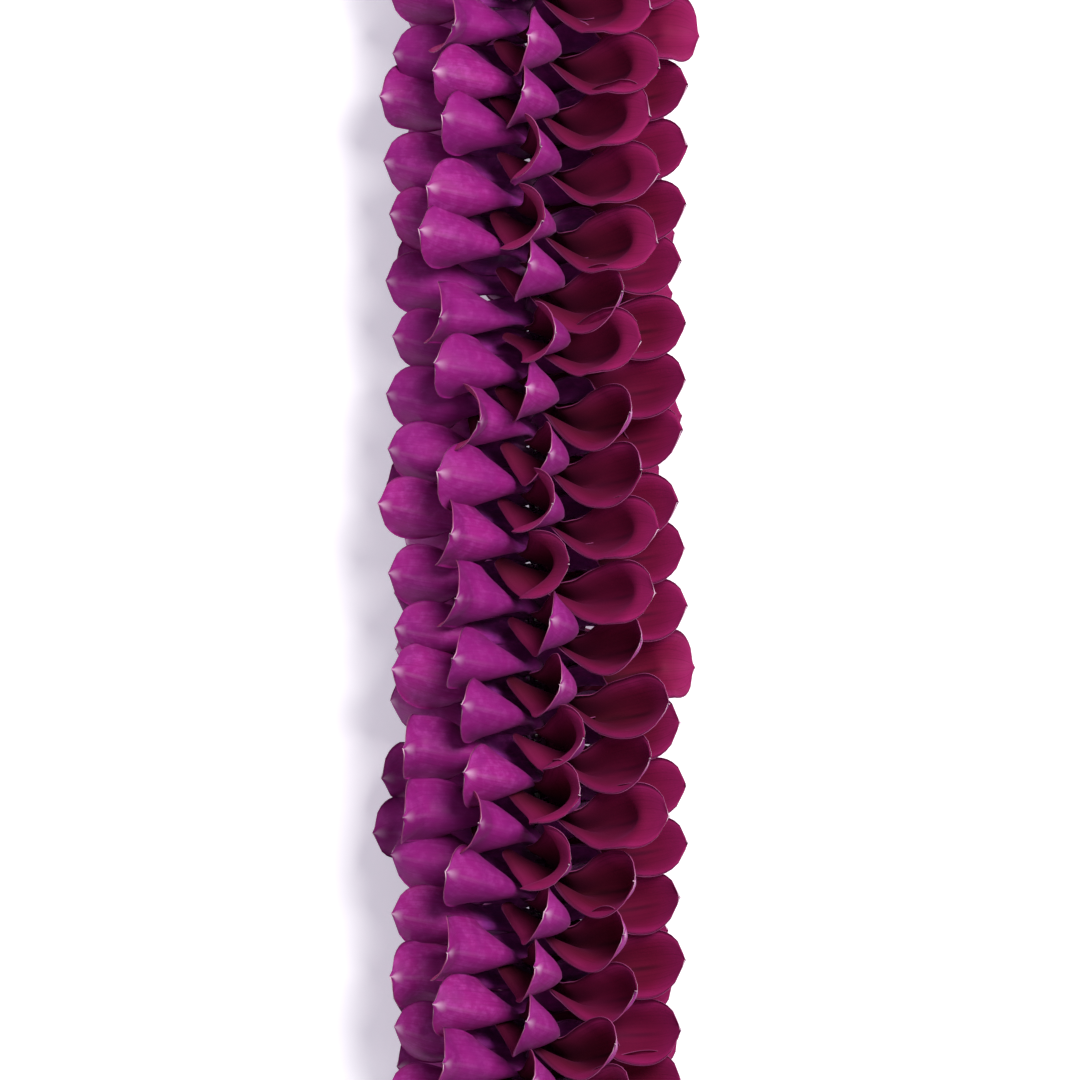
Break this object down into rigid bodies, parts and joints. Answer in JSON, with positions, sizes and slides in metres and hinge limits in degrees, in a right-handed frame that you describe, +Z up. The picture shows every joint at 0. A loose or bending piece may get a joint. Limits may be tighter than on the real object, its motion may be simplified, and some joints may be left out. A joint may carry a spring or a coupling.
{
  "type": "fresh flower lei",
  "caption": "Straight length of lei: folded orchid lips strung through their claws on one knotted thread, standing out all round it like a pinwheel, lying on its side",
  "frame": {"origin": "centre of the bounding box in X and Y, on the surface that the lei rests on", "axes": "+Y along the thread, +Z up from the surface, +X across the lei"},
  "size_m": [0.048, 0.2046, 0.0455],
  "materials": {
    "lip": "velvety maroon inside and silky magenta outside, with a pale rim and a pale violet claw",
    "thread": "twisted white cotton thread"
  },
  "bodies": {
    "root": {"lip_group_01": "lip", "lip_group_02": "lip", "lip_group_03": "lip", "lip_group_04": "lip", "lip_group_05": "lip", "lip_group_06": "lip", "lip_group_07": "lip", "lip_group_08": "lip", "lip_group_09": "lip", "lip_group_10": "lip", "lip_group_11": "lip", "lip_group_12": "lip", "lip_group_13": "lip", "lip_group_14": "lip", "lip_group_15": "lip", "lip_group_16": "lip", "lip_group_17": "lip", "lip_group_18": "lip", "lip_group_19": "lip", "lip_group_20": "lip", "lip_group_21": "lip", "thread": "thread"}
  },
  "joints": []
}
